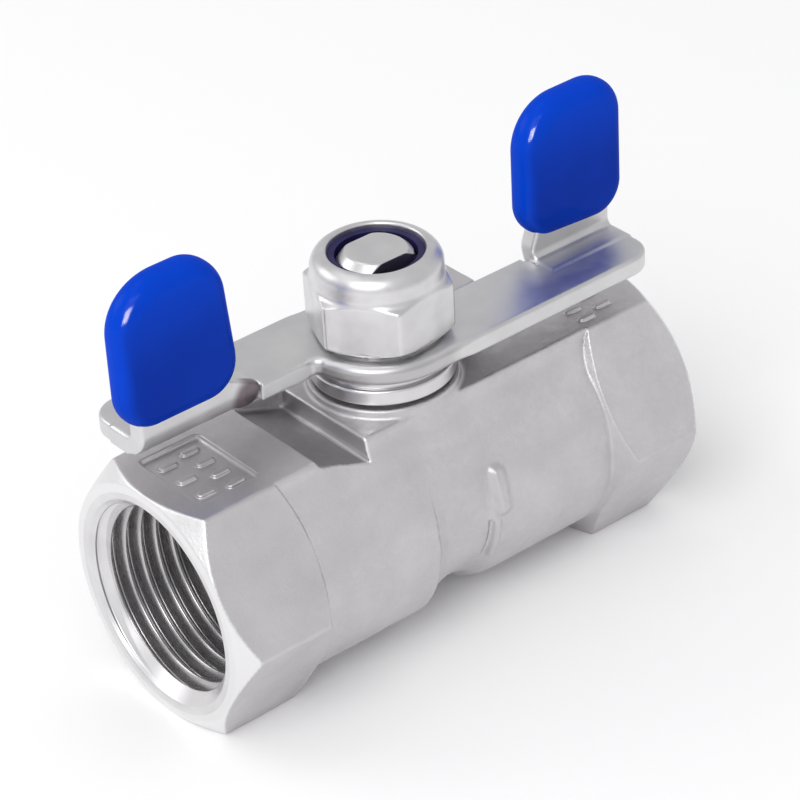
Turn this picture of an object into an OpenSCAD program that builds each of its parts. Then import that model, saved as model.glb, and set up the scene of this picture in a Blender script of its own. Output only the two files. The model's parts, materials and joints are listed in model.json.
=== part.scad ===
// One-piece reduced-bore ball valve with female threaded hexagonal ends and a butterfly handle.
// X runs along the pipe, +Z is up along the stem, the underside flats sit at Z = 0.

/* [Body] */
// Length over both ends
body_length = 59; // [57.6:0.2:60]
// Distance of the stem from the middle of the body, towards the blind end
stem_offset = 0.5; // [0:0.1:0.5]
// Distance across the flats of the hexagonal ends
hex_flats = 25; // [24.6:0.2:25.6]
// Radius of the flat ring on each end face
face_r = 12.4; // [12:0.1:12.5]
// Radius of the pipe thread at its crests
thread_r = 9.3; // [9.2:0.1:9.4]
// Depth of each threaded socket
thread_depth = 14; // [13:0.5:15]
// Radius of the thread's lead-in on the end face
mouth_r = 10.9; // [10.6:0.1:11.2]
// Radius of the round barrel on the blind side
barrel_r = 12.3; // [12.1:0.1:12.4]
// Radius of the round barrel on the insert side
barrel_small_r = 12.05; // [11.8:0.05:12.1]
// Radius at the bottom of the shallow waist
waist_r = 10.8; // [10.6:0.1:11]
// Half width of the flat rail along the top
rail_half = 7.2; // [7:0.1:7.2]
// Height of the round boss above the rail
boss_rise = 0.95; // [0.9:0.05:1.2]
// Radius of the boss
boss_r = 7.5; // [7.4:0.1:7.6]

/* [Ball and seats] */
// Radius of the ball
ball_r = 7.75; // [7.7:0.05:7.8]
// Radius of the waterway
port_r = 4.6; // [4.2:0.1:4.6]
// Radius of the chamber that holds the ball and seats
chamber_r = 9; // [8.9:0.05:9]
// Clearance between ball and seats
seat_gap = 0.05; // [0.03:0.01:0.08]

/* [Stem] */
// Radius of the stem
stem_r = 4; // [3.9:0.05:4]
// Radial clearance around the stem
stem_gap = 0.05; // [0.03:0.01:0.08]
// Thickness of the tang that turns the ball
tang_t = 3; // [2.8:0.1:3.2]
// Half the distance between the two flats at the stem's top
flat_half = 2.6; // [2.4:0.05:2.8]
// Height of the stem's top above the pipe axis
stem_top = 27.1; // [26.8:0.1:27.4]

/* [Handle] */
// Half the length of the handle plate
plate_half = 29.1; // [28.5:0.1:30]
// Radius of the round centre and half width of the plate
plate_r = 8; // [7.9:0.05:8]
// Thickness of the sheet
sheet = 2; // [1.8:0.1:2]
// Underside of the plate above the pipe axis
plate_z = 16.4; // [16.4:0.05:16.6]
// Edge of each arm beside the centre line
arm_edge = 0.25; // [0.1:0.05:0.3]
// Inner end of each wing along the arm
wing_in = 19.4; // [19.2:0.1:19.8]
// Inside radius of the bend under each wing
bend_r = 0.9; // [0.8:0.1:1.1]
// Top of the bare metal wing above the pipe axis
wing_top = 34.4; // [33.5:0.1:34.6]

/* [Grips] */
// Thickness of each dipped grip
grip_t = 3.9; // [3.7:0.1:4.2]
// Inner end of each grip
grip_in = 17.6; // [17.4:0.1:17.8]
// Outer end of each grip
grip_out = 30.8; // [30.7:0.1:31]
// Bottom of each grip above the pipe axis
grip_low = 19.6; // [19.5:0.1:19.9]
// Top of each grip above the pipe axis
grip_high = 35.5; // [35.4:0.1:35.8]
// Corner radius at the top of each grip
grip_top_r = 5; // [4:0.5:5]
// Corner radius at the bottom of each grip
grip_low_r = 3.6; // [3:0.2:4]

/* [Lock nut] */
// Distance across the flats of the nut
nut_flats = 13; // [12.8:0.1:13]
// Height of the nut's hexagon
nut_hex_h = 5.8; // [5.6:0.1:6]
// Height of the whole nut
nut_h = 8.8; // [8.7:0.1:9]
// Radius of the nut's round collar
collar_r = 6.4; // [6.3:0.05:6.45]
// Radius of the nylon ring
nylon_r = 4.9; // [4.8:0.05:5]
// Turn of the nut on the stem
nut_turn = 6.3; // [0:0.1:30]

/* [Hidden] */
axis_z = hex_flats / 2;
inlet_reach = body_length / 2 - stem_offset;
outlet_reach = body_length / 2 + stem_offset;
corner_r = hex_flats / sqrt(3);
socket_x = outlet_reach - thread_depth;
rail_top = hex_flats / 2;
boss_top = rail_top + boss_rise;
plate_top = plate_z + sheet;
seat_in = 4.9;
seat_out = 9.4;
collar_low = 7.9;
collar_high = 9.2;
washer_high = 9.8;
ledge_high = 10.8;
pack_r = 5.9;
pack_t = 0.75;
gland_low = ledge_high + 3 * pack_t;
gland_flange = boss_top + 0.35;
gland_r = 7.2;
gland_high = 15.5;
bend_out = bend_r + sheet;
wing_y = 1;
edge_r = grip_t / 2;
stem_bevel = 1;
seg = 96;

// turns a shape drawn around Z so that it lies along the pipe
module along_pipe() {
    translate([0, 0, axis_z])
        rotate([0, 90, 0])
            children();
}

module lift(z) {
    translate([0, 0, axis_z + z])
        children();
}

// one hexagonal end with turned chamfers, drawn along +Z from the middle of the valve
module hex_end(reach) {
    intersection() {
        translate([0, 0, 15])
            rotate([0, 0, 30])
                cylinder(h = reach - 15, r = corner_r, $fn = 6);
        rotate_extrude($fn = seg)
            polygon([
                [0, 15], [10.4, 15], [12.5, reach - 11.3], [14.8, reach - 9.5],
                [14.8, reach - 2.07], [face_r, reach], [0, reach]
            ]);
    }
}

module socket_cut(reach) {
    translate([0, 0, reach - thread_depth])
        cylinder(h = thread_depth + 1, r = thread_r, $fn = seg);
    translate([0, 0, reach - (mouth_r - thread_r)])
        cylinder(h = mouth_r - thread_r + 0.01, r1 = thread_r, r2 = mouth_r + 0.01, $fn = seg);
}

module waist_cut() {
    intersection() {
        translate([0, 0, axis_z])
            rotate([0, 90, 0])
                rotate_extrude($fn = seg)
                    polygon([[waist_r, 0], [waist_r, 1.8], [barrel_r + 1, 5], [barrel_r + 1, -5.2]]);
        translate([-10, -20, -20])
            cube([20, 40, axis_z + 25.4]);
    }
}

module body_outside() {
    along_pipe() {
        translate([0, 0, -19.5])
            cylinder(h = 19.5, r = barrel_r, $fn = seg);
        translate([0, 0, -0.01])
            cylinder(h = 19.51, r = barrel_small_r, $fn = seg);
        hex_end(outlet_reach);
        mirror([0, 0, 1])
            hex_end(inlet_reach);
    }
    translate([-20, -rail_half, axis_z])
        cube([40, 2 * rail_half, rail_top]);
    lift(rail_top - 1)
        cylinder(h = boss_rise + 1, r = boss_r, $fn = seg);
    lift(rail_top - 1.2)
        cylinder(h = 1.6, r1 = boss_r + 1.2, r2 = boss_r - 0.4, $fn = seg);
    translate([8.3, 0.45, axis_z + 9])
        cube([4.5, rail_half - 0.45, 9]);
}

// the groove across the rail: a wall beside the boss and a floor that ramps up to the rail
module cross_groove() {
    translate([0, 20, axis_z])
        rotate([90, 0, 0])
            linear_extrude(40)
                polygon([[-8.2, 10.1], [-8.2, 20], [-14.2, 20], [-14.2, 12.6]]);
}

module body() {
    color([0.73, 0.72, 0.73])
        difference() {
            body_outside();
            waist_cut();
            cross_groove();
            along_pipe() {
                socket_cut(outlet_reach);
                mirror([0, 0, 1])
                    socket_cut(inlet_reach);
                translate([0, 0, -inlet_reach])
                    cylinder(h = body_length, r = port_r, $fn = seg);
                translate([0, 0, -seat_out])
                    cylinder(h = seat_out + socket_x + 0.01, r = chamber_r, $fn = seg);
            }
            lift(0)
                cylinder(h = washer_high, r = 5.4, $fn = seg);
            lift(0)
                cylinder(h = 20, r = stem_r + stem_gap, $fn = seg);
            lift(ledge_high)
                cylinder(h = 10, r = pack_r, $fn = seg);
        }
}

module end_insert() {
    color([0.68, 0.68, 0.69])
        along_pipe()
            difference() {
                translate([0, 0, seat_out])
                    cylinder(h = socket_x - seat_out, r = chamber_r - 0.05, $fn = seg);
                translate([0, 0, seat_out - 1])
                    cylinder(h = 10, r = port_r, $fn = seg);
                translate([0, 0, socket_x - 2.6])
                    cylinder(h = 5, r = 6.1, $fn = 6);
                translate([0, 0, seat_out + 0.8])
                    rotate_extrude($fn = seg)
                        translate([chamber_r - 0.85, 0])
                            square([2, 1.2]);
            }
}

module insert_seal() {
    color([0.93, 0.93, 0.9])
        along_pipe()
            translate([0, 0, seat_out + 0.8])
                rotate_extrude($fn = seg)
                    translate([chamber_r - 0.85, 0])
                        square([0.85, 1.2]);
}

module ball() {
    color([0.8, 0.8, 0.82])
        lift(0)
            difference() {
                sphere(r = ball_r, $fn = seg);
                rotate([0, 90, 0])
                    cylinder(h = 40, r = port_r, center = true, $fn = seg);
                translate([-tang_t / 2 - 0.1, -10, 5.1])
                    cube([tang_t + 0.2, 20, 10]);
            }
}

// a seat ring drawn along +Z: its hollow face hugs the ball
module seat() {
    difference() {
        translate([0, 0, seat_in])
            cylinder(h = seat_out - seat_in, r = chamber_r - 0.04, $fn = seg);
        translate([0, 0, seat_in - 1])
            cylinder(h = 10, r = port_r, $fn = seg);
        sphere(r = ball_r + seat_gap, $fn = seg);
    }
}

module seat_inlet() {
    color([0.95, 0.95, 0.93])
        along_pipe()
            mirror([0, 0, 1])
                seat();
}

module seat_outlet() {
    color([0.95, 0.95, 0.93])
        along_pipe()
            seat();
}

module stem_flats() {
    for (s = [-1, 1])
        translate([-10, s > 0 ? flat_half : -flat_half - 10, 15.9])
            cube([20, 10, 20]);
}

module stem() {
    color([0.7, 0.7, 0.71])
        lift(0)
            difference() {
                union() {
                    translate([0, 0, collar_high - 0.01])
                        cylinder(h = stem_top - collar_high - stem_bevel + 0.01, r = stem_r, $fn = seg);
                    translate([0, 0, stem_top - stem_bevel])
                        cylinder(h = stem_bevel, r1 = stem_r, r2 = stem_r - stem_bevel, $fn = seg);
                    translate([0, 0, collar_low])
                        cylinder(h = collar_high - collar_low, r = seat_in - 0.15, $fn = seg);
                    intersection() {
                        translate([-tang_t / 2, -10, 5.3])
                            cube([tang_t, 20, collar_low - 5.29]);
                        translate([0, 0, 5])
                            cylinder(h = 4, r = 3.7, $fn = seg);
                    }
                }
                stem_flats();
            }
}

module flat_ring(z, inner, outer, t) {
    lift(z)
        difference() {
            cylinder(h = t, r = outer, $fn = seg);
            translate([0, 0, -1])
                cylinder(h = t + 2, r = inner, $fn = seg);
        }
}

module thrust_washer() {
    color([0.95, 0.95, 0.93])
        flat_ring(collar_high + 0.02, stem_r + stem_gap, 5.3, washer_high - collar_high - 0.02);
}

// the packing rings nest with a shallow V
module packing(z, low_v, high_v) {
    mid = (stem_r + stem_gap + pack_r) / 2;
    color([0.94, 0.94, 0.9])
        lift(z)
            rotate_extrude($fn = seg)
                polygon([
                    [stem_r + stem_gap, 0], [mid, low_v], [pack_r, 0],
                    [pack_r, pack_t], [mid, pack_t + high_v], [stem_r + stem_gap, pack_t]
                ]);
}

module packing_lower() {
    packing(ledge_high, 0, 0.4);
}

module packing_middle() {
    packing(ledge_high + pack_t, 0.4, 0.4);
}

module packing_upper() {
    packing(ledge_high + 2 * pack_t, 0.4, 0);
}

module gland_ring() {
    color([0.7, 0.7, 0.71])
        lift(0)
            difference() {
                union() {
                    translate([0, 0, gland_low])
                        cylinder(h = gland_high - gland_low, r = pack_r - 0.05, $fn = seg);
                    translate([0, 0, gland_flange])
                        cylinder(h = gland_high - gland_flange - 0.3, r = gland_r, $fn = seg);
                    translate([0, 0, gland_high - 0.31])
                        cylinder(h = 0.31, r1 = gland_r, r2 = gland_r - 0.31, $fn = seg);
                }
                translate([0, 0, gland_low - 1])
                    cylinder(h = 10, r = stem_r + stem_gap, $fn = seg);
            }
}

module spring_washer() {
    color([0.62, 0.62, 0.63])
        lift(0)
            rotate_extrude($fn = seg)
                polygon([
                    [stem_r + 0.2, plate_z - 0.6], [stem_r + 0.2, plate_z],
                    [stem_r + 1, plate_z], [6.7, gland_high + 0.62],
                    [6.7, gland_high + 0.02], [6.1, gland_high + 0.02]
                ]);
}

// one arm of the plate with its upright wing, on the +X side
module arm() {
    difference() {
        union() {
            translate([0, -plate_r, plate_z])
                cube([plate_half - 2.6, plate_r + arm_edge, sheet]);
            translate([plate_half - 3, -plate_r + 2.6, plate_z])
                cube([3, plate_r - 2.6 + arm_edge, sheet]);
            translate([plate_half - 2.6, -plate_r + 2.6, plate_z])
                cylinder(h = sheet, r = 2.6, $fn = seg);
        }
        translate([wing_in, wing_y - bend_out, plate_z - 1])
            cube([20, 10, sheet + 2]);
    }
    translate([wing_in, wing_y - bend_out, plate_z + bend_out])
        rotate([0, 90, 0])
            wing_bend();
    wing();
}

module wing_bend() {
    intersection() {
        difference() {
            cylinder(h = plate_half - wing_in, r = bend_out, $fn = seg);
            translate([0, 0, -1])
                cylinder(h = 20, r = bend_r, $fn = seg);
        }
        translate([0, 0, -1])
            cube([10, 10, 20]);
    }
}

module wing() {
    len = plate_half - wing_in;
    low = plate_z + bend_out;
    translate([wing_in, wing_y - sheet, low - 0.01]) {
        cube([len, sheet, wing_top - low - 4]);
        translate([4, 0, 0])
            cube([len - 8, sheet, wing_top - low + 0.01]);
        for (x = [4, len - 4])
            translate([x, sheet, wing_top - low - 4 + 0.01])
                rotate([90, 0, 0])
                    cylinder(h = sheet, r = 4, $fn = seg);
    }
}

module handle_plate() {
    color([0.72, 0.72, 0.72])
        lift(0)
            difference() {
                union() {
                    translate([0, 0, plate_z])
                        cylinder(h = sheet, r = plate_r, $fn = seg);
                    for (a = [0, 180])
                        rotate([0, 0, a])
                            arm();
                }
                intersection() {
                    translate([0, 0, plate_z - 1])
                        cylinder(h = sheet + 2, r = stem_r + 0.08, $fn = seg);
                    translate([-10, -flat_half - 0.08, plate_z - 1])
                        cube([20, 2 * flat_half + 0.16, sheet + 2]);
                }
            }
}

// a quarter of a rounded corner, thickness along Y
module grip_corner(x, z, r, turn) {
    translate([x, 0, z])
        rotate([90, 0, 0])
            rotate([0, 0, turn])
                rotate_extrude(angle = 90, $fn = seg)
                    union() {
                        translate([0, -edge_r])
                            square([r - edge_r, 2 * edge_r]);
                        translate([r - edge_r, 0])
                            intersection() {
                                circle(r = edge_r, $fn = 48);
                                translate([0, -edge_r])
                                    square([edge_r, 2 * edge_r]);
                            }
                    }
}

module rod(from, to, vertical) {
    translate(from)
        rotate(vertical ? [0, 0, 0] : [0, 90, 0])
            cylinder(h = to, r = edge_r, $fn = 48);
}

// a thick flat pad with fully rounded edges
module grip_pad() {
    lt = grip_top_r;
    lb = grip_low_r;
    grip_corner(grip_out - lt, grip_high - lt, lt, 0);
    grip_corner(grip_in + lt, grip_high - lt, lt, 90);
    grip_corner(grip_in + lb, grip_low + lb, lb, 180);
    grip_corner(grip_out - lb, grip_low + lb, lb, 270);
    translate([grip_in + lt, -edge_r, grip_low + edge_r])
        cube([grip_out - grip_in - 2 * lt, grip_t, grip_high - grip_low - 2 * edge_r]);
    translate([grip_in + edge_r, -edge_r, grip_low + lb])
        cube([grip_out - grip_in - 2 * edge_r, grip_t, grip_high - grip_low - lt - lb]);
    translate([grip_in + lb, -edge_r, grip_low + edge_r])
        cube([grip_out - grip_in - 2 * lb, grip_t, 4]);
    rod([grip_in + edge_r, 0, grip_low + lb], grip_high - grip_low - lt - lb, true);
    rod([grip_out - edge_r, 0, grip_low + lb], grip_high - grip_low - lt - lb, true);
    rod([grip_in + lt, 0, grip_high - edge_r], grip_out - grip_in - 2 * lt, false);
    rod([grip_in + lb, 0, grip_low + edge_r], grip_out - grip_in - 2 * lb, false);
}

module grip() {
    color([0.05, 0.2, 0.72])
        lift(0)
            difference() {
                grip_pad();
                wing();
            }
}

module grip_outlet() {
    grip();
}

module grip_inlet() {
    rotate([0, 0, 180])
        grip();
}

module lock_nut() {
    color([0.76, 0.76, 0.77])
        lift(plate_top)
            rotate([0, 0, nut_turn])
                difference() {
                    union() {
                        intersection() {
                            cylinder(h = nut_hex_h, r = nut_flats / sqrt(3), $fn = 6);
                            rotate_extrude($fn = seg)
                                polygon([
                                    [0, 0], [6.3, 0], [7.7, 0.8], [7.7, nut_hex_h - 0.5],
                                    [6.3, nut_hex_h + 0.1], [0, nut_hex_h + 0.1]
                                ]);
                        }
                        rotate_extrude($fn = seg)
                            polygon([
                                [0, 1], [collar_r, 1], [collar_r, nut_h - 1.5], [collar_r - 0.4, nut_h - 0.6],
                                [collar_r - 1.2, nut_h], [0, nut_h]
                            ]);
                    }
                    translate([0, 0, -1])
                        cylinder(h = 20, r = stem_r + 0.04, $fn = seg);
                    translate([0, 0, nut_h - 2.6])
                        cylinder(h = 3, r = nylon_r, $fn = seg);
                }
}

module nylon_ring() {
    color([0.1, 0.08, 0.35])
        flat_ring(plate_top + nut_h - 2.6, stem_r + 0.02, nylon_r, 2);
}

body();
end_insert();
insert_seal();
ball();
seat_inlet();
seat_outlet();
stem();
thrust_washer();
packing_lower();
packing_middle();
packing_upper();
gland_ring();
spring_washer();
handle_plate();
grip_inlet();
grip_outlet();
lock_nut();
nylon_ring();
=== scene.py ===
import json
import math

import bpy
import numpy as np
import openvdb
from mathutils import Matrix, Vector


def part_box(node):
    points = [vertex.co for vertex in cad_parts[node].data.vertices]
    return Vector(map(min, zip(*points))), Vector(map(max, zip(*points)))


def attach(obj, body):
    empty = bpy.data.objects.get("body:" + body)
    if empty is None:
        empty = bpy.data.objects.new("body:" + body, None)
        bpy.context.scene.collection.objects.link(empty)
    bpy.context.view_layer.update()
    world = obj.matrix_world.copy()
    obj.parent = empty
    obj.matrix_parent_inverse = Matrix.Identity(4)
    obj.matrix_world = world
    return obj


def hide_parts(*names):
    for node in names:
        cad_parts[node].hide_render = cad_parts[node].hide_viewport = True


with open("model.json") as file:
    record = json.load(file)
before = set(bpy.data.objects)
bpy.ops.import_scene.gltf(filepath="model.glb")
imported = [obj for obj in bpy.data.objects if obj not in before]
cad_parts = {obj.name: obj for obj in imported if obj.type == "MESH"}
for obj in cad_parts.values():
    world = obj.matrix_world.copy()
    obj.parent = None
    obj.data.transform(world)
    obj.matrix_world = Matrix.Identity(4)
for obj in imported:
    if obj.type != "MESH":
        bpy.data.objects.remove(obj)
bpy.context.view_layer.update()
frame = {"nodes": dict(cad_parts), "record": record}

# The shapes below are in millimetres, X along the pipe and Z up the stem, measured from the pipe's axis.
MM = 0.001
AXIS_Z = next(m["pos_m"][2] for m in frame["record"]["mounts"] if m["name"] == "port_inlet") / MM


def cad(node):
    """The CAD node's box in the shapes' own frame: its lowest and highest corner."""
    low, high = (np.array(corner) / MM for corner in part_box(node))
    shift = np.array([0, 0, AXIS_Z])
    return low - shift, high - shift


# ---------------------------------------------------------------- implicit shapes

def either(a, b, fillet=0.0):
    """Union of two distance fields, with a round fillet between them."""
    if np.ndim(fillet) == 0 and fillet == 0:
        return np.minimum(a, b)
    inner = np.hypot(np.maximum(fillet - a, 0), np.maximum(fillet - b, 0))
    return np.maximum(fillet, np.minimum(a, b)) - inner


def both(a, b, edge=0.0):
    """Intersection of two distance fields, with a rounded edge."""
    if np.ndim(edge) == 0 and edge == 0:
        return np.maximum(a, b)
    outer = np.hypot(np.maximum(edge + a, 0), np.maximum(edge + b, 0))
    return np.minimum(-edge, np.maximum(a, b)) + outer


def without(a, b, edge=0.0):
    return both(a, -b, edge)


def ease(value, start, end):
    """0 at start and 1 at end, smooth in between."""
    t = np.clip((value - start) / (end - start), 0, 1)
    return t * t * (3 - 2 * t)


def slab(value, low, high):
    return np.abs(value - (low + high) / 2) - (high - low) / 2


def hexagon(u, v, flats, edge):
    """Distance to a hexagon with flats above and below along v."""
    faces = [np.abs(v * math.cos(a) + u * math.sin(a)) - flats / 2 for a in (0, math.pi / 3, -math.pi / 3)]
    return both(both(faces[0], faces[1], edge), faces[2], edge)


def line(u, v, start, end):
    """Signed distance in the u, v plane to the line from start to end, negative on its right."""
    run, rise = end[0] - start[0], end[1] - start[1]
    return ((v - start[1]) * run - (u - start[0]) * rise) / math.hypot(run, rise)


def waves(x, y, z, size, seed, terms=10):
    """A smooth random field between about -1 and 1, with bumps of that size."""
    rng = np.random.default_rng(seed)
    total = 0
    for _ in range(terms):
        k = rng.normal(size=3) * 2.2 / size
        total = total + np.sin(k[0] * x + k[1] * y + k[2] * z + rng.uniform(0, 6.28))
    return total / math.sqrt(terms)


def mesh_of(shape, low, high, step):
    """Points, faces and normals of the surface where shape is 0, inside the box from low to high."""
    margin, band = 2.5 * step, 3 * step
    low = np.array(low, float) - margin
    count = np.ceil((np.array(high, float) + margin - low) / step).astype(int) + 1
    axes = [a + step * np.arange(n) for a, n in zip(low, count)]
    x, y, z = np.meshgrid(*axes, indexing="ij", sparse=True)
    field = np.broadcast_to(shape(x, y, z), count).astype(np.float32)
    field = np.clip(field, -band, band)
    grid = openvdb.FloatGrid(band)
    grid.copyFromArray(field)
    points, quads = grid.convertToQuads(isovalue=0)
    p = points.astype(float) * step + low
    # each pass moves the points along the slope, a part of a step at most, onto the exact surface
    for _ in range(4):
        value, slope = shape(*p.T), gradient(shape, p)
        move = (value / np.maximum((slope ** 2).sum(1), 0.05))[:, None] * slope
        length = np.linalg.norm(move, axis=1, keepdims=True)
        p = p - move * np.minimum(1, 0.6 * step / np.maximum(length, 1e-9))
    normals = gradient(shape, p)
    normals /= np.maximum(np.linalg.norm(normals, axis=1, keepdims=True), 1e-9)
    a, b, c = (p[quads[:, i]] for i in (0, 1, 2))
    facing = (np.cross(b - a, c - a) * normals[quads[:, 0]]).sum()
    return p, (quads[:, ::-1] if facing < 0 else quads), normals


def gradient(shape, p, reach=0.01):
    """The slope of shape at the points p, from samples that far away on each axis."""
    steps = np.eye(3) * reach
    return np.stack([(shape(*(p + s).T) - shape(*(p - s).T)) / (2 * reach) for s in steps], axis=1)


def add_mesh(name, points, faces, material, normals=None):
    """A mesh object from points in the shapes' frame."""
    mesh = bpy.data.meshes.new(name)
    placed = (np.asarray(points, float) + [0, 0, AXIS_Z]) * MM
    mesh.from_pydata(placed.tolist(), [], np.asarray(faces).tolist())
    mesh.polygons.foreach_set("use_smooth", [True] * len(mesh.polygons))
    if normals is not None:
        mesh.normals_split_custom_set_from_vertices(normals.tolist())
    mesh.materials.append(material)
    piece = bpy.data.objects.new(name, mesh)
    bpy.context.scene.collection.objects.link(piece)
    return piece


def piece_from(name, shape, low, high, step, material, body, *nodes, accent=None):
    """The surface of shape as a piece that rides on body and stands for the CAD nodes.

    accent gives, for each point, how much of its material's second colour shows: a real finish on some
    pieces, painted light or shade on others. On the casting, a value below zero brings in a third one, a
    painted shade."""
    points, faces, normals = mesh_of(shape, low, high, step)
    piece = add_mesh(name, points, faces, material, normals)
    if accent is not None:
        piece.data.attributes.new("accent", "FLOAT", "POINT").data.foreach_set("value", accent(*points.T))
    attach(piece, body)
    if nodes:
        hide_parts(*nodes)
    return piece


# ---------------------------------------------------------------- materials

def new_material(name, **sockets):
    """A principled material with those constants, its nodes, links and shader."""
    material = bpy.data.materials.new(name)
    material.use_nodes = True
    tree = material.node_tree
    shader = tree.nodes["Principled BSDF"]
    for key, value in sockets.items():
        shader.inputs[key.replace("_", " ")].default_value = value
    return material, tree, shader


def add_node(tree, kind, **values):
    """A shader node, with its properties or sockets set by name."""
    node = tree.nodes.new(kind)
    for key, value in values.items():
        if hasattr(node, key):
            setattr(node, key, value)
        else:
            node.inputs[key.replace("_", " ")].default_value = value
    return node


def noise(tree, coordinates, scale, detail=4.0, roughness=0.55):
    node = add_node(tree, "ShaderNodeTexNoise", Scale=scale, Detail=detail, Roughness=roughness)
    tree.links.new(coordinates, node.inputs["Vector"])
    return node.outputs["Fac"]


def spread(tree, factor, low, high, start=0.3, end=0.7):
    """Maps a factor between start and end to a value between low and high."""
    node = add_node(tree, "ShaderNodeMapRange", From_Min=start, From_Max=end, To_Min=low, To_Max=high)
    tree.links.new(factor, node.inputs["Value"])
    return node.outputs["Result"]


def tint(tree, factor, dark, light, start=0.3, end=0.7):
    """A colour between dark and light by the factor."""
    ramp = tree.nodes.new("ShaderNodeValToRGB")
    ramp.color_ramp.elements[0].position = start
    ramp.color_ramp.elements[0].color = (*dark, 1)
    ramp.color_ramp.elements[1].position = end
    ramp.color_ramp.elements[1].color = (*light, 1)
    tree.links.new(factor, ramp.inputs["Fac"])
    return ramp.outputs["Color"]


def blend(tree, factor, plain, other):
    """From the plain output, at factor 0, to the constant other, at factor 1."""
    colour = not isinstance(other, float)
    node = add_node(tree, "ShaderNodeMix", data_type="RGBA" if colour else "FLOAT")
    kind = "RGBA" if colour else "VALUE"
    first, second = (i for i in node.inputs if i.type == kind and i.name in "AB")
    tree.links.new(factor, node.inputs["Factor"])
    tree.links.new(plain, first)
    second.default_value = other
    return next(o for o in node.outputs if o.type == kind)


def bump(tree, height, strength, distance, below=None):
    """A bump that deep in metres, on top of another bump if one is given."""
    node = add_node(tree, "ShaderNodeBump", Strength=strength, Distance=distance)
    tree.links.new(height, node.inputs["Height"])
    if below is not None:
        tree.links.new(below, node.inputs["Normal"])
    return node.outputs["Normal"]


def accent_of(tree):
    """The accent stored on the piece's points."""
    return add_node(tree, "ShaderNodeAttribute", attribute_name="accent").outputs["Fac"]


def object_space(tree):
    return tree.nodes.new("ShaderNodeTexCoord").outputs["Object"]


def stretched(tree, coordinates, scale):
    """The coordinates with their own scale on each axis."""
    node = add_node(tree, "ShaderNodeMapping", Scale=scale)
    tree.links.new(coordinates, node.inputs["Vector"])
    return node.outputs["Vector"]


def cast_steel():
    """Bead-blasted casting, bright where the accent is above zero, on turned faces and as a painted
    highlight, and darker where it is below zero, as painted shade.
    """
    material, tree, shader = new_material("cast_steel", Metallic=1.0)
    space = object_space(tree)
    turned = accent_of(tree)
    cloud = noise(tree, space, 170, 3)
    grain = noise(tree, space, 5200, 2)
    pits = noise(tree, space, 1500, 3, 0.6)
    cast_colour = tint(tree, cloud, (0.57, 0.552, 0.57), (0.632, 0.617, 0.628))
    # below zero the accent mixes in a dark cast colour: painted shade
    painted_shade = spread(tree, turned, 1.0, 0.0, -1.0, 0.0)
    cast_colour = blend(tree, painted_shade, cast_colour, (0.3, 0.285, 0.3, 1))
    tree.links.new(blend(tree, turned, cast_colour, (0.82, 0.815, 0.82, 1)), shader.inputs["Base Color"])
    tree.links.new(blend(tree, turned, spread(tree, pits, 0.4, 0.54), 0.38), shader.inputs["Roughness"])
    rough = bump(tree, grain, 0.5, 0.00004)
    normal = bump(tree, pits, 0.4, 0.00007, rough)
    tree.links.new(normal, shader.inputs["Normal"])
    return material


def turned_steel(name, roughness, axis_scale, metallic=1.0, tone=0.7):
    """Bright steel with fine lathe marks; axis_scale stretches the noise across the turning."""
    material, tree, shader = new_material(name, Metallic=metallic)
    space = object_space(tree)
    marks = noise(tree, stretched(tree, space, axis_scale), 1.0, 3, 0.7)
    cloud = noise(tree, space, 300, 2)
    dark, light = (tone - 0.04, tone - 0.05, tone - 0.04), (tone + 0.04, tone + 0.03, tone + 0.03)
    tree.links.new(tint(tree, cloud, dark, light), shader.inputs["Base Color"])
    tree.links.new(spread(tree, marks, roughness, roughness + 0.1), shader.inputs["Roughness"])
    tree.links.new(bump(tree, marks, 0.12, 0.00002), shader.inputs["Normal"])
    return material


def sheet_steel():
    """Tumbled sheet, darker and browner by the accent: partly its own stain, partly painted shade."""
    material, tree, shader = new_material("sheet_steel", Metallic=1.0)
    space = object_space(tree)
    cloud = noise(tree, space, 220, 3)
    dents = noise(tree, space, 420, 3, 0.6)
    streaks = noise(tree, stretched(tree, space, (300, 4200, 4200)), 1.0, 2, 0.6)
    sheet_colour = tint(tree, cloud, (0.63, 0.625, 0.635), (0.71, 0.71, 0.71))
    # the accent darkens the sheet: partly real stain, partly painted shade
    torn = accent_of(tree)
    tree.links.new(blend(tree, torn, sheet_colour, (0.2, 0.17, 0.18, 1)), shader.inputs["Base Color"])
    tree.links.new(spread(tree, dents, 0.35, 0.43), shader.inputs["Roughness"])
    fine = bump(tree, streaks, 0.05, 0.00002)
    tree.links.new(bump(tree, dents, 0.12, 0.0001, fine), shader.inputs["Normal"])
    return material


def nut_steel():
    """Bright plated steel with small dents."""
    material, tree, shader = new_material("nut_steel", Metallic=1.0)
    space = object_space(tree)
    cloud = noise(tree, space, 260, 3)
    dents = noise(tree, space, 600, 2, 0.6)
    tree.links.new(tint(tree, cloud, (0.62, 0.61, 0.62), (0.74, 0.73, 0.735)), shader.inputs["Base Color"])
    tree.links.new(spread(tree, dents, 0.3, 0.42), shader.inputs["Roughness"])
    tree.links.new(bump(tree, dents, 0.2, 0.00008), shader.inputs["Normal"])
    return material


def dip_vinyl():
    """Glossy dipped vinyl, a lighter blue by the accent: painted light on the rim and towards the top."""
    material, tree, shader = new_material(
        "dip_vinyl", Roughness=0.4, Specular_IOR_Level=0.0, Coat_Weight=0.12, Coat_Roughness=0.12
    )
    space = object_space(tree)
    cloud = noise(tree, space, 90, 2)
    peel = noise(tree, space, 260, 2, 0.4)
    face_colour = tint(tree, cloud, (0.001, 0.026, 0.31), (0.002, 0.034, 0.38))
    # the accent paints light: a lighter blue on the rim and towards the top
    colour = blend(tree, accent_of(tree), face_colour, (0.001, 0.055, 0.6, 1))
    tree.links.new(colour, shader.inputs["Base Color"])
    tree.links.new(bump(tree, peel, 0.12, 0.0002), shader.inputs["Normal"])
    return material


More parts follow.
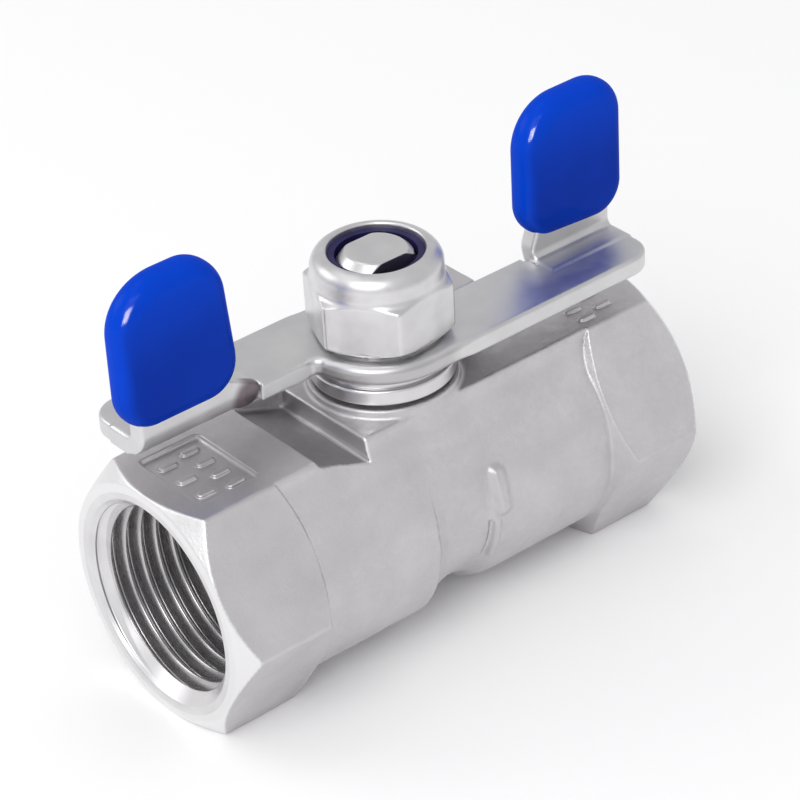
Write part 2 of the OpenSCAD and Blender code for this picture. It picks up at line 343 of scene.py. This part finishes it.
def soft_plastic(name, dark, light, roughness):
    """Dull plastic with a faint mottle."""
    material, tree, shader = new_material(name, Roughness=roughness, Specular_IOR_Level=0.3)
    space = object_space(tree)
    cloud = noise(tree, space, 500, 3)
    tree.links.new(tint(tree, cloud, dark, light), shader.inputs["Base Color"])
    tree.links.new(bump(tree, cloud, 0.15, 0.00004), shader.inputs["Normal"])
    return material


ALONG_PIPE, ALONG_STEM = (9000, 300, 300), (300, 300, 9000)
CAST = cast_steel()
TURNED_X = turned_steel("turned_along_pipe", 0.16, ALONG_PIPE)
# a darker copy of turned steel for the thread inside the socket: painted shade
SHADED_THREAD = turned_steel("cut_thread_painted_shade", 0.22, ALONG_PIPE, metallic=0.95, tone=0.56)
PORT_FACE = turned_steel("turned_face", 0.32, ALONG_PIPE, tone=0.73)
TURNED_Z = turned_steel("turned_along_stem", 0.27, ALONG_STEM)
SHEET = sheet_steel()
NUT = nut_steel()
VINYL = dip_vinyl()
NYLON = soft_plastic("dark_nylon", (0.008, 0.006, 0.05), (0.018, 0.013, 0.09), 0.5)
WHITE_SEAL = soft_plastic("white_seal", (0.78, 0.77, 0.74), (0.86, 0.85, 0.82), 0.45)


# ---------------------------------------------------------------- valve body

BODY_STEP = 0.22
BODY_LOW, BODY_HIGH = cad("body")
TOP = AXIS_Z
FLATS = 2 * TOP
BARREL_R = 12.35
# the hexagonal ends: their length, and the cones that cut their corners, as (inward of the face, radius)
HEX_LONG = 10.9
FACE_R = 12.4
OUTER_CONE = ((-1.75, FACE_R + 2.03), (0, FACE_R))
INNER_CONE = ((-11.25, BARREL_R), (-10.0, 14.4))
# the rail on top, with the stem boss and the stop lug on it
RAIL_HALF, RAIL_REACH = 7.15, 22
BOSS_R, BOSS_TOP = 7.5, TOP + 0.95
LUG_X, LUG_Y, LUG_TOP = (8.3, 12.8), (0.45, 7.1), BODY_HIGH[2]
# the groove across the rail has a wall beside the boss and a floor that ramps up to the rail
GROOVE_X, GROOVE_END = (-13.9, -8.2), 5.8
RAMP = ((GROOVE_X[0], 12.0), (GROOVE_X[1], 10.1))
# the sunk panel, and where plain bars stand for raised letters: a row along Y at each X
PANEL_X, PANEL_Y, PANEL_DEEP = (-26.0, -19.0), (-4.7, 4.9), 0.55
BARS = {-24.1: (-3, 0, 3), -21.1: (-3.6, -1.2, 1.2, 3.6), 21.6: (-5.4, -3.4), 24.4: (-4.6, -2.2)}
BAR_HALF, BAR_R, BAR_TALL = 0.6, 0.42, 0.35
# the holes: threaded sockets, ball chamber, waterway, and the stem's hole with its two steps
MOUTH_R, SOCKET = 10.9, 14.0
CHAMBER_R, CHAMBER_X = 9.0, (-9.4, 15.7)
PORT_R = 4.6
STEM_HOLE_R, WASHER_SEAT, PACKING_SEAT = 4.05, (5.4, 9.8), (5.9, 10.8)


def end_of(x):
    """How far the end on the same side as x reaches from the stem."""
    return np.where(x < 0, -BODY_LOW[0], BODY_HIGH[0])


def barrel(x, y, z):
    """The round middle with its waist, which is deepest underneath and fades out towards the top."""
    rho = np.hypot(y, z)
    above = np.degrees(np.arctan2(z, np.abs(y) + 1e-9))
    side = ease(above, 36, 8)
    step = side * ease(x, -3.95, -3.6) + (1 - side) * ease(x, -5, 4)
    shallow = 0.42 * side * ease(x, -3.95, -2.2) * ease(x, 4.1, 2.7)
    deep = 1.0 * ease(above, 5, -45) * ease(x, -4.4, 0.6) * ease(x, 5.6, 1.6)
    bar = 0.6 * ease(above, 29, 23) * ease(above, 0, 5) * ease(x, 3.3, 4.2) * ease(x, 6.0, 4.4)
    ridge = 0.18 * ease(np.abs(x - 3.7), 0.5, 0.15) - 0.15 * ease(np.abs(x - 3.1), 0.35, 0.1)
    ridge = ridge * ease(above, 1, -1) * ease(above, -29, -23)
    return rho - (BARREL_R - 0.3 * step) + shallow + deep - ridge - bar


def hex_ends(x, y, z):
    """Both hexagonal ends, each cut by a cone at its face and by one at its root."""
    rho = np.hypot(y, z)
    inward = np.abs(x) - end_of(x)
    prism = hexagon(y, z, FLATS, 0.3)
    inner = line(inward - 0.3 * (x > 0), rho, *INNER_CONE)
    outer = line(inward, rho, *OUTER_CONE)
    ends = both(both(prism, inner, 0.12), outer, 0.15)
    return both(ends, inward, 0.12)


def stem_bore(x, y, z):
    """The stem's hole, wider for the thrust washer below and for the packing above."""
    around = np.hypot(x, y)
    washer_r, washer_top = WASHER_SEAT
    packing_r, packing_floor = PACKING_SEAT
    hole = either(around - STEM_HOLE_R, both(around - washer_r, z - washer_top))
    hole = either(hole, both(around - packing_r, packing_floor - z))
    return both(hole, -z)


def body_shape(x, y, z):
    """The whole casting."""
    rho = np.hypot(y, z)
    along = np.abs(x)
    reach = end_of(x)
    low_barrel = both(barrel(x, y, z), both(z - 10.5, along - reach + HEX_LONG))
    rail = both(both(np.abs(y) - RAIL_HALF, z - TOP, 0.5), both(along - RAIL_REACH, -z))
    outside = either(low_barrel, rail, 1.9)
    outside = either(outside, hex_ends(x, y, z), 0.15 * ease(z, 11.6, 10.4))
    boss = both(both(np.hypot(x, y) - BOSS_R, z - BOSS_TOP, 0.3), 6 - z)
    outside = either(outside, boss, 0.45)
    lug = both(both(slab(x, *LUG_X), slab(y, *LUG_Y), 0.7), z - LUG_TOP, 0.5)
    outside = either(outside, both(lug, 8 - z), 0.6)
    groove = both(both(slab(x, *GROOVE_X), -line(x, z, *RAMP), 0.3), y - GROOVE_END, 0.4)
    outside = without(outside, groove, 0.3)
    panel = both(both(slab(x, *PANEL_X), slab(y, *PANEL_Y), 0.6), TOP - PANEL_DEEP - z, 0.45)
    outside = without(outside, panel, 0.2)
    for row, offsets in BARS.items():
        floor = TOP - PANEL_DEEP if row < 0 else TOP
        for offset in offsets:
            bar = np.hypot(np.maximum(np.abs(x - row) - BAR_HALF, 0), y + 0.2 - offset) - BAR_R
            outside = either(outside, both(both(bar, z - floor - BAR_TALL, 0.2), 8 - z), 0.15)
    # the skin of the casting is a little uneven, but not where the faces were turned
    rough = 0.02 * waves(x, y, z, 3.5, 4) + 0.008 * waves(x, y, z, 1.1, 5)
    outside = outside + rough * ease(reach - along, 1.9, 3.0)
    sockets = both(rho - MOUTH_R - 0.3, reach - SOCKET - along)
    chamber = both(rho - CHAMBER_R, slab(x, *CHAMBER_X))
    holes = either(either(sockets, chamber), rho - PORT_R)
    return without(without(outside, holes), stem_bore(x, y, z), 0.1)


def casting_finish_and_painted_light(x, y, z):
    """1 on the end faces and the cones round them, which were turned, and on the groove's wall as a painted
    highlight; -0.8 on the groove's floor as painted shade under the handle.
    """
    inward, rho = np.abs(x) - end_of(x), np.hypot(y, z)
    out_of_reach = 9
    cone = np.abs(line(inward, rho, *OUTER_CONE)) + out_of_reach * (inward < -2.2)
    turned = 1 - ease(np.minimum(cone, np.abs(inward)), 0.03, 0.12)
    # the groove's floor is darkened below zero: painted shade under the handle plate
    past_groove = (np.abs(x + 11.2) > 2.6) | (np.abs(y + 0.7) > 6.5)
    floor = np.abs(line(x, z, *RAMP)) + out_of_reach * past_groove
    # the groove's wall gets the bright turned colour: a painted highlight
    wall = ease(np.abs(x - GROOVE_X[1]), 0.3, 0.1) * ease(z, 10.2, 10.5) * ease(z, 12.45, 12.3)
    return turned - 0.8 * ease(floor, 0.5, 0.2) + wall


casting = piece_from(
    "valve_casting", body_shape, BODY_LOW, BODY_HIGH, BODY_STEP, CAST, "valve_body", "body",
    accent=casting_finish_and_painted_light
)


PITCH, CREST_R, ROOT_R = 25.4 / 14, 9.35, 10.5
PORT_TURNS, PORT_RINGS = 144, 230


def thread_radius(deep, angle, sign):
    """Radius of the pipe thread at that depth from the face, with rounded crests and roots."""
    phase = (deep / PITCH + sign * angle / (2 * math.pi) - 0.41) % 1
    tooth = np.abs(2 * phase - 1)
    tooth = ease(tooth, 0.06, 0.94) * 0.35 + np.clip((tooth - 0.08) / 0.84, 0, 1) * 0.65
    fade = ease(deep, SOCKET - 1.5, SOCKET - 3.5)
    radius = CREST_R + (ROOT_R - CREST_R) * tooth * fade
    return np.maximum(radius, MOUTH_R - deep)


def threaded_port(name, sign):
    """The turned end of the body: face ring, lead-in and the pipe thread, as one closed sleeve."""
    reach = end_of(sign)
    angle = np.linspace(0, 2 * math.pi, PORT_TURNS, endpoint=False)
    deep = np.linspace(0.2, SOCKET - 0.4, PORT_RINGS)
    # (depth, radius) of the plain loops: the ring's face, and its little rounded corner to the lead-in
    loops = [(0.05, 11.6), (-0.01, 11.55), (-0.012, 11.5), (-0.012, 11.3)]
    bends = [math.radians(turn) for turn in (0, 9, 18, 27, 36, 45)]
    loops += [(0.6 * (1 - math.cos(b)) - 0.012, MOUTH_R + 0.25 - 0.6 * math.sin(b)) for b in bends]
    rows = loops + [(d, thread_radius(d, angle, sign)) for d in deep]
    rows += [(SOCKET - 0.02, CREST_R), (SOCKET, MOUTH_R + 0.4)]
    points = []
    for d, r in rows:
        along = np.full(PORT_TURNS, sign * (reach - d))
        points.append(np.column_stack([along, r * np.cos(angle), r * np.sin(angle)]))
    faces = []
    for i in range(len(rows)):
        row, next_row = i * PORT_TURNS, (i + 1) % len(rows) * PORT_TURNS
        for k in range(PORT_TURNS):
            m = (k + 1) % PORT_TURNS
            quad = (row + k, row + m, next_row + m, next_row + k)
            faces.append(quad[::-1] if sign < 0 else quad)
    piece = add_mesh(name, np.vstack(points), faces, SHADED_THREAD)
    piece.data.materials.append(PORT_FACE)
    # the ring and the lead-in are turned smooth, down to where the thread begins
    smooth_rows = len(loops) + int((MOUTH_R - CREST_R - 0.35) / (deep[1] - deep[0]))
    for polygon in piece.data.polygons[:smooth_rows * PORT_TURNS]:
        polygon.material_index = 1
    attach(piece, "valve_body")


threaded_port("port_thread_inlet", -1)
threaded_port("port_thread_outlet", 1)


# ---------------------------------------------------------------- handle

PLATE_STEP = 0.18
PLATE_LOW, PLATE_HIGH = cad("handle_plate")
PLATE_Z, ARM_END, WING_TOP = PLATE_LOW[2], PLATE_HIGH[0], PLATE_HIGH[2]
SHEET_T = 2.0
MID_Z = PLATE_Z + SHEET_T / 2
# each arm reaches sideways from near the stem's plane to the disc's own radius
ARM_EDGE, DISC_R = 0.25, 8.0
# the wing's inner edge, its bend at mid-sheet, and where the arm is cut short of it
WING_IN, BEND = 19.4, 1.9
BEND_Y = -BEND
NOTCH_INLET, NOTCH_OUTLET = 15.1, WING_IN - 0.8
PLATE_HOLE_R = 3.9


def paired(x, y):
    """Folds the second arm onto the first, half a turn about the stem."""
    side = np.where(x < 0, -1.0, 1.0)
    return x * side, y * side


def plate_shape(x, y, z):
    """One sheet: a disc under the nut and two arms, each with a wing bent up from its inner edge."""
    u, v = paired(x, y)
    around = np.hypot(x, y)
    arm = both(both(both(-v - DISC_R, u - ARM_END, 3.0), v - ARM_EDGE), -u)
    notch = np.where(x < 0, NOTCH_INLET, NOTCH_OUTLET)
    flat = both(arm, either(u - notch, v - BEND_Y - 0.3))
    relief = np.hypot(u - notch, np.minimum(v + 0.4, 0)) - 0.4
    outline = without(either(around - DISC_R, flat, 0.9 * ease(v, -4, -2)), relief, 0.25)
    edge = 0.4 + 0.35 * ease(around, 9.6, 8.3)
    plate = both(np.abs(z - MID_Z) - SHEET_T / 2, outline, edge)
    # the wing is measured along the bent sheet: across is through its thickness, run is along it
    centre_z = MID_Z + BEND
    bend_end = BEND_Y + BEND * math.pi / 2
    turn = np.arctan2(v - BEND_Y, centre_z - z)
    off_centre = np.hypot(v - BEND_Y, z - centre_z)
    in_bend = (z < centre_z) & (v > BEND_Y)
    upright = z >= centre_z
    across = np.where(upright, v, np.where(in_bend, off_centre - BEND, MID_Z - z))
    run = np.where(upright, bend_end + z - centre_z, np.where(in_bend, BEND_Y + BEND * turn, v))
    top = bend_end + WING_TOP - centre_z
    # the inlet side's bend is torn and bulges out at its inner end
    torn = np.where(x < 0, 1.0, 0.15)
    inner_edge = WING_IN - 3.9 * torn * ease(run, 3.3, 1.0)
    bulge = 0.35 * ease(np.hypot(u - 16.8, 0.7 * (run - 0.8)), 1.9, 0.6) * (x < 0)
    tab = both(both(both(inner_edge - u, u - ARM_END), run - top, 4.0), -4 - run)
    wing = both(np.abs(across) - SHEET_T / 2 - bulge, tab, 0.4)
    return without(either(plate, wing, 0.5), around - PLATE_HOLE_R) + 0.008 * waves(x, y, z, 5.0, 9)


def plate_stain_and_painted_shade(x, y, z):
    """1 on the torn end of the inlet side's bend, and a little on the cut edge of the disc: darker there,
    partly from the sheet's own stain, partly as painted shade.
    """
    torn = ease(np.hypot(x + 16.8, 0.8 * (z - 18.4)), 2.1, 1.2) * ease(y, -0.3, -0.5)
    top = PLATE_Z + SHEET_T
    return torn + 0.3 * ease(np.hypot(x, y), 8.8, 8.1) * ease(z, top - 0.05, top - 0.4)


piece_from(
    "butterfly_plate", plate_shape, PLATE_LOW, PLATE_HIGH, PLATE_STEP, SHEET, "handle", "handle_plate",
    accent=plate_stain_and_painted_shade
)


GRIP_LOW, GRIP_HIGH = cad("grip_outlet")
GRIP_MIDDLE, GRIP_HALF = (GRIP_LOW + GRIP_HIGH) / 2, (GRIP_HIGH - GRIP_LOW) / 2
GRIP_RIM, GRIP_STEP = 1.75, 0.25


def grip_outline(x, z):
    """Distance to the pad's outline seen from the front, negative inside."""
    u = np.abs(x)
    middle, tall = GRIP_MIDDLE[0], GRIP_MIDDLE[2]
    # the top corner towards the outlet is the tighter one on both pads
    corner = np.where(z > tall, np.where(x > middle * np.sign(x), 4.3, 5.5), 3.6)
    # the inlet side's pad narrows a little towards its top
    lean = 0.1 * np.clip(z - 24, 0, 12) * (x < 0) * ease(u, GRIP_HIGH[0], GRIP_LOW[0])
    narrow = 0.22 * (x > 0) * (u < middle)
    qx = np.abs(u - middle) - GRIP_HALF[0] + corner + (lean + narrow)
    # and the outlet side's is cut a little higher at its inner end
    short = 0.5 * ease(u, GRIP_HIGH[0] - 2, GRIP_LOW[0] + 1) * (x > 0) * (z < tall)
    qz = np.abs(z - tall) - GRIP_HALF[2] + corner + short + 0.2 * (z > tall)
    return np.hypot(np.maximum(qx, 0), np.maximum(qz, 0)) + np.minimum(np.maximum(qx, qz), 0) - corner


def grip_shape(x, y, z):
    """A dipped pad: a rounded outline, soft rim and slightly domed faces."""
    outline = grip_outline(x, z)
    dome = 0.14 * ease(outline, 0, -5)
    past_face = np.abs(y) - (GRIP_HALF[1] - 0.1 - GRIP_RIM) - dome
    pad = np.hypot(np.maximum(outline + GRIP_RIM, 0), np.maximum(past_face, 0)) - GRIP_RIM
    return pad + 0.02 * waves(x, y, z, 5.0, 12)


def pad_painted_light(x, y, z):
    """The vinyl is painted lighter in a narrow rim and towards the top: painted light."""
    rim = 0.8 * ease(grip_outline(x, z), -1.3, -0.2) * ease(z, 17, 26)
    return np.maximum(rim, 0.8 * ease(z, 26, 36.5))


grips = {}
for end in ("inlet", "outlet"):
    low, high = cad(f"grip_{end}")
    grips[end] = piece_from(
        f"dipped_grip_{end}", grip_shape, low, high, GRIP_STEP, VINYL, "handle", f"grip_{end}",
        accent=pad_painted_light
    )


NUT_LOW, NUT_HIGH = cad("lock_nut")
NUT_TURN = math.radians(6.3)
NUT_FLATS, HEX_TALL = 13.0, 5.8
COLLAR_R, COLLAR_ROUND = 6.45, 1.7
WASHER_FACE, WASHER_R = 0.3, 6.0
INSERT_R, NUT_BORE_R = 4.75, 4.04
NUT_STEP, STEM_STEP, RING_STEP = 0.14, 0.14, 0.15


def nut_shape(x, y, z):
    """A hexagon on a thin washer face, with the round collar that holds the nylon ring."""
    u = x * math.cos(NUT_TURN) + y * math.sin(NUT_TURN)
    v = y * math.cos(NUT_TURN) - x * math.sin(NUT_TURN)
    r = np.hypot(x, y)
    up = z - NUT_LOW[2]
    tall = NUT_HIGH[2] - NUT_LOW[2]
    prism = hexagon(u, v, NUT_FLATS, 0.25)
    foot = line(up, r, (0.1, WASHER_R), (1.0, 7.6))
    shoulder = line(up, r, (HEX_TALL - 0.5, 7.7), (HEX_TALL + 0.1, 6.3))
    block = both(both(both(prism, foot, 0.15), shoulder, 0.2), WASHER_FACE - up, 0.12)
    collar = both(both(r - COLLAR_R, up - tall, COLLAR_ROUND), 1 - up)
    nut = either(either(block, collar, 0.5), both(r - WASHER_R, slab(up, 0, 1)))
    opening = both(r - INSERT_R, tall - 1.5 - up)
    return without(without(nut, opening, 0.3), r - NUT_BORE_R) + 0.012 * waves(x, y, z, 2.5, 21)


piece_from("nylon_lock_nut", nut_shape, NUT_LOW, NUT_HIGH, NUT_STEP, NUT, "handle", "lock_nut")

STEM_LOW, STEM_HIGH = cad("stem")
STEM_R, STEM_PITCH, STEM_TOP = 3.98, 1.25, STEM_HIGH[2]
STEM_FLAT, FLATS_FROM = 2.6, 15.9
STEM_THREAD_FROM = NUT_LOW[2] - 1.0


def stem_shape(x, y, z):
    """The stem: a threaded end with two flats, a collar inside the body and a tang in the ball's slot."""
    r = np.hypot(x, y)
    turn = np.arctan2(y, x) / (2 * math.pi)
    tooth = np.abs(2 * ((z / STEM_PITCH - turn) % 1) - 1)
    shank = r - STEM_R + 0.5 * tooth * ease(z, STEM_THREAD_FROM, STEM_THREAD_FROM + 1)
    shank = both(shank, line(z, r, (STEM_TOP - 0.98, 4.0), (STEM_TOP, 2.97)), 0.15)
    shank = both(both(shank, z - STEM_TOP, 0.12), 9 - z)
    shank = both(shank, either(np.abs(y) - STEM_FLAT, z - FLATS_FROM), 0.1)
    collar = both(r - 5.0, slab(z, 7.9, 9.2), 0.15)
    tang = both(both(np.abs(x) - 1.5, r - 3.7), slab(z, 5.3, 8.2))
    return either(either(shank, collar), tang)


piece_from("threaded_stem", stem_shape, STEM_LOW, STEM_HIGH, STEM_STEP, TURNED_Z, "handle", "stem")

RING_LOW, RING_HIGH = cad("gland_ring")


def gland_shape(x, y, z):
    """A flange that stands a thin gap above the boss, on a sleeve that presses on the packing."""
    r = np.hypot(x, y)
    flange = both(r - 7.2, slab(z, BOSS_TOP + 0.35, RING_HIGH[2]), 0.3)
    sleeve = both(r - 5.85, slab(z, RING_LOW[2], RING_HIGH[2]))
    return without(either(flange, sleeve, 0.15), r - 4.06)


piece_from("turned_gland", gland_shape, RING_LOW, RING_HIGH, RING_STEP, TURNED_Z, "valve_body", "gland_ring")

# pieces whose CAD shape is already right take their material only
for node, material in {
    "end_insert": TURNED_X,
    "insert_seal": WHITE_SEAL,
    "ball": TURNED_Z,
    "seat_inlet": WHITE_SEAL,
    "seat_outlet": WHITE_SEAL,
    "thrust_washer": WHITE_SEAL,
    "packing_lower": WHITE_SEAL,
    "packing_middle": WHITE_SEAL,
    "packing_upper": WHITE_SEAL,
    "spring_washer": TURNED_Z,
    "nylon_ring": NYLON,
}.items():
    mesh = frame["nodes"][node].data
    mesh.materials.clear()
    mesh.materials.append(material)


# ---------------------------------------------------------------- stage, light and camera

def add_floor(reach=3.0):
    """A pale sheet of paper, that far to each side."""
    corners = [(-reach, -reach, 0), (reach, -reach, 0), (reach, reach, 0), (-reach, reach, 0)]
    mesh = bpy.data.meshes.new("floor")
    mesh.from_pydata(corners, [], [(0, 1, 2, 3)])
    paper = new_material("floor_paper", Roughness=0.9, Base_Color=(0.98, 0.98, 0.98, 1))[0]
    mesh.materials.append(paper)
    floor = bpy.data.objects.new("floor", mesh)
    bpy.context.scene.collection.objects.link(floor)


def add_light(name, place, size, power):
    """A rectangular lamp at that place in metres, aimed at the middle of the valve."""
    data = bpy.data.lights.new(name, "AREA")
    data.shape = "RECTANGLE"
    data.size, data.size_y = size
    data.energy = power
    light = bpy.data.objects.new(name, data)
    light.location = place
    light.rotation_euler = (CENTRE - Vector(place)).to_track_quat("-Z", "Y").to_euler()
    bpy.context.scene.collection.objects.link(light)
    return light


def only_on(light, name, pieces):
    """Lets a light reach those pieces alone."""
    receivers = bpy.data.collections.new(name)
    for piece in pieces:
        receivers.objects.link(piece)
    light.light_linking.receiver_collection = receivers


def add_world():
    world = bpy.data.worlds.new("studio")
    world.use_nodes = True
    background = world.node_tree.nodes["Background"]
    background.inputs["Color"].default_value = (0.94, 0.94, 0.95, 1)
    background.inputs["Strength"].default_value = 0.73
    bpy.context.scene.world = world


def add_camera():
    """The photograph's view: a long lens above and to the left of the inlet end."""
    azimuth, elevation, roll = map(math.radians, (-37.877, 32.804, -3.464))
    distance = 0.3137
    target = Vector((0.1, -0.08, 10 + AXIS_Z)) * MM
    level = math.cos(elevation)
    away = Vector((math.sin(azimuth) * level, -math.cos(azimuth) * level, math.sin(elevation)))
    right = (-away).cross(Vector((0, 0, 1))).normalized()
    up = right.cross(-away)
    across = math.cos(roll) * right + math.sin(roll) * up
    upward = math.cos(roll) * up - math.sin(roll) * right
    data = bpy.data.cameras.new("camera")
    data.sensor_width, data.lens = 36, 144.7
    data.shift_x, data.shift_y = 0.0171, -0.0008
    data.clip_start = 0.01
    camera = bpy.data.objects.new("camera", data)
    turned = Matrix((across, upward, away)).transposed().to_4x4()
    camera.matrix_world = Matrix.Translation(target + away * distance) @ turned
    bpy.context.scene.collection.objects.link(camera)
    bpy.context.scene.camera = camera


CENTRE = Vector((0, 0, 0.02))
add_floor()
add_world()
add_light("key", (-0.5, -0.3, 0.58), (0.5, 0.5), 2.85)
side = add_light("side", (0.5, -0.45, 0.3), (0.4, 0.4), 0.22)
add_light("back", (-0.2, 0.3, 0.8), (0.5, 0.3), 0.36)
add_light("mouth", (-0.35, 0.42, 0.32), (0.35, 0.25), 0.5)
only_on(side, "casting_only", [casting])
# a lamp that only makes the two spots of gloss on the grips
spark = add_light("spark", (-0.44, -0.34, 0.25), (0.24, 0.26), 20)
spark.visible_diffuse = False
only_on(spark, "grips_only", grips.values())
add_camera()
bpy.context.scene.view_settings.view_transform = "Standard"
